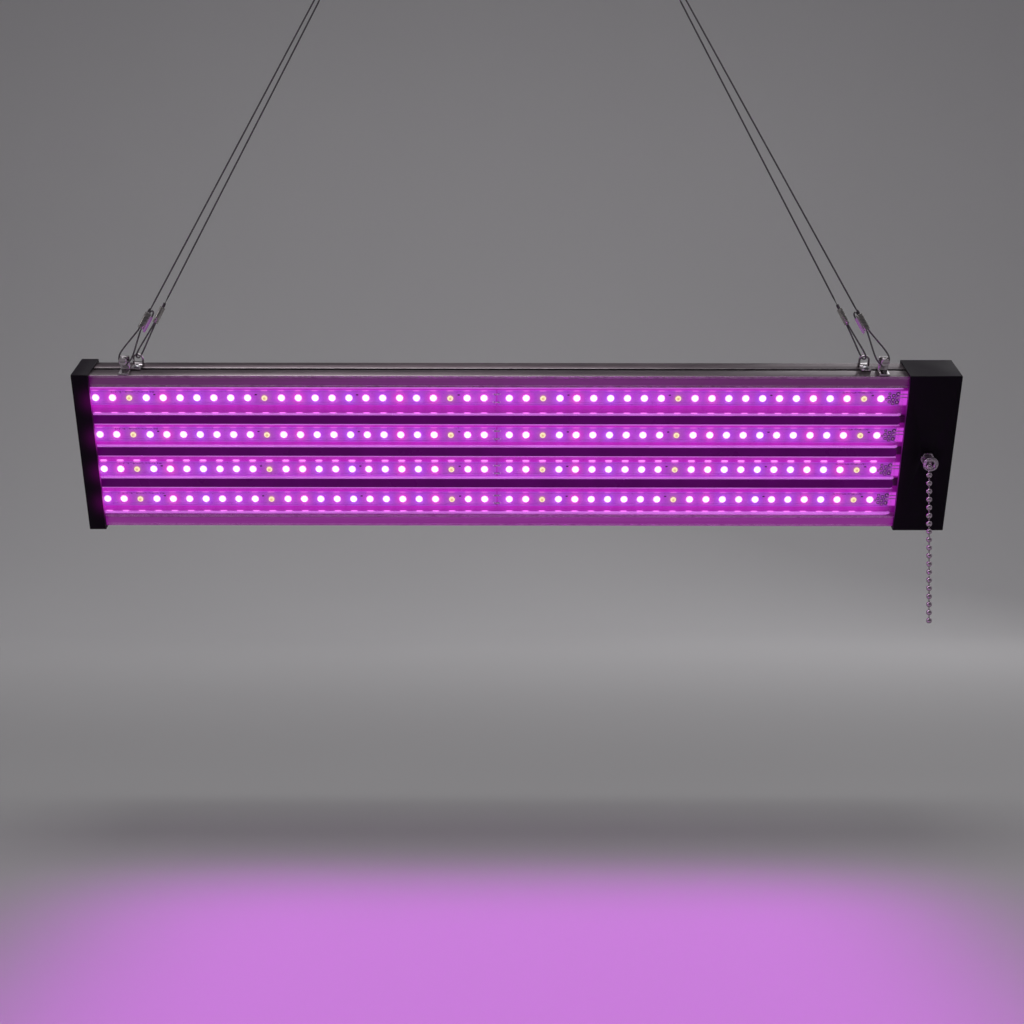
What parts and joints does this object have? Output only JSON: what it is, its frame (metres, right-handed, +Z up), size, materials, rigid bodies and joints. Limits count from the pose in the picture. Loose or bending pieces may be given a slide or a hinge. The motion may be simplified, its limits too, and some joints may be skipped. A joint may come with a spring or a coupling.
{
  "type": "led grow light",
  "caption": "Hanging LED grow light: slotted aluminium body with rows of LEDs between black end caps, a bead-chain pull switch and wire-rope legs on ceiling hooks.",
  "frame": {"origin": "on the ceiling surface, midway between the two ceiling hooks", "axes": "+X runs along the lamp towards the end cap with the pull switch, -Y is the side the LED face looks to, +Z is up; the lamp hangs with its LED face turned 25.7 degrees down"},
  "size_m": [0.6106, 0.0802, 0.5339],
  "materials": {
    "hook_zinc": "zinc plated",
    "body_aluminium": "satin extruded and anodised",
    "cap_black": "satin moulded",
    "screw_steel": "zinc plated",
    "cover_clear": "clear polycarbonate",
    "strip_black": "satin extruded",
    "board_white": "white solder mask",
    "led_grow": "lit magenta and white",
    "led_warm": "lit warm yellow phosphor",
    "solder_tin": "tinned",
    "driver_green": "solder mask",
    "driver_dark": "sleeved and moulded",
    "fitting_black": "moulded",
    "chain_nickel": "nickel plated",
    "lever_brass": "stamped",
    "pin_steel": "nickel plated",
    "clip_chrome": "bright plated",
    "rope_steel": "seven-strand stainless",
    "ferrule_grey": "pressed"
  },
  "bodies": {
    "ceiling": {"ceiling_hook_left": "hook_zinc", "ceiling_hook_right": "hook_zinc"},
    "lamp": {"body_profile": "body_aluminium", "end_cap_left": "cap_black", "end_cap_right": "cap_black", "cap_screws_left": "screw_steel", "cap_screws_right": "screw_steel", "clip_screws": "screw_steel", "slot_nuts": "screw_steel", "lens_cover_1": "cover_clear", "lens_cover_2": "cover_clear", "lens_cover_3": "cover_clear", "lens_cover_4": "cover_clear", "retainer_strip_1": "strip_black", "retainer_strip_2": "strip_black", "retainer_strip_3": "strip_black", "led_board_1_left": "board_white", "led_board_1_right": "board_white", "led_board_2_left": "board_white", "led_board_2_right": "board_white", "led_board_3_left": "board_white", "led_board_3_right": "board_white", "led_board_4_left": "board_white", "led_board_4_right": "board_white", "led_chips_1": "led_grow", "led_chips_2": "led_grow", "led_chips_3": "led_grow", "led_chips_4": "led_grow", "warm_chips": "led_warm", "board_links": "solder_tin", "driver_board": "driver_green", "driver_parts": "driver_dark", "switch_case": "fitting_black", "mains_inlet": "fitting_black", "switch_nut": "chain_nickel", "switch_spout": "chain_nickel", "inlet_pins": "pin_steel", "clip_front_left": "clip_chrome", "clip_front_right": "clip_chrome", "clip_rear_left": "clip_chrome", "clip_rear_right": "clip_chrome", "rope_front_left": "rope_steel", "rope_front_right": "rope_steel", "rope_rear_left": "rope_steel", "rope_rear_right": "rope_steel", "ferrules_front_left": "ferrule_grey", "ferrules_front_right": "ferrule_grey", "ferrules_rear_left": "ferrule_grey", "ferrules_rear_right": "ferrule_grey"},
    "pull_lead": {"pull_lead": "chain_nickel"},
    "switch_lever": {"switch_lever": "lever_brass"},
    "chain_top": {"chain_top": "chain_nickel"},
    "chain_upper": {"chain_upper": "chain_nickel"},
    "chain_middle": {"chain_middle": "chain_nickel"},
    "chain_lower": {"chain_lower": "chain_nickel"}
  },
  "joints": [
    {"name": "swing", "type": "hinge", "parent": "ceiling", "child": "lamp", "pos_m": [0, 0, -0.028], "axis": [1, 0, 0], "range_deg": [-30, 30]},
    {"name": "pull", "type": "slide", "parent": "lamp", "child": "pull_lead", "axis": [0, -0.9011, -0.4337], "range_m": [0, 0.0056], "stiffness_N_per_m": 800, "springref_m": -0.001},
    {"name": "chain_drop", "type": "slide", "parent": "lamp", "child": "chain_top", "axis": [0, 0, -1], "range_m": [0, 0.0056]},
    {"name": "lever_turn", "type": "hinge", "parent": "lamp", "child": "switch_lever", "pos_m": [0.2998, -0.00704, -0.38565], "axis": [1, 0, 0], "range_deg": [-25, 0]},
    {"name": "chain_bend_upper", "type": "hinge", "parent": "chain_top", "child": "chain_upper", "pos_m": [0.2982, -0.0256, -0.4135], "axis": [1, 0, 0], "range_deg": [-30, 30]},
    {"name": "chain_bend_middle", "type": "hinge", "parent": "chain_upper", "child": "chain_middle", "pos_m": [0.2982, -0.0256, -0.4471], "axis": [0, 1, 0], "range_deg": [-30, 30]},
    {"name": "chain_bend_lower", "type": "hinge", "parent": "chain_middle", "child": "chain_lower", "pos_m": [0.2982, -0.0256, -0.4807], "axis": [1, 0, 0], "range_deg": [-30, 30]}
  ],
  "couplings": [
    {"joint": "chain_drop", "follows": "pull", "ratio": 1},
    {"joint": "lever_turn", "follows": "pull", "rad_per_m": -75}
  ]
}
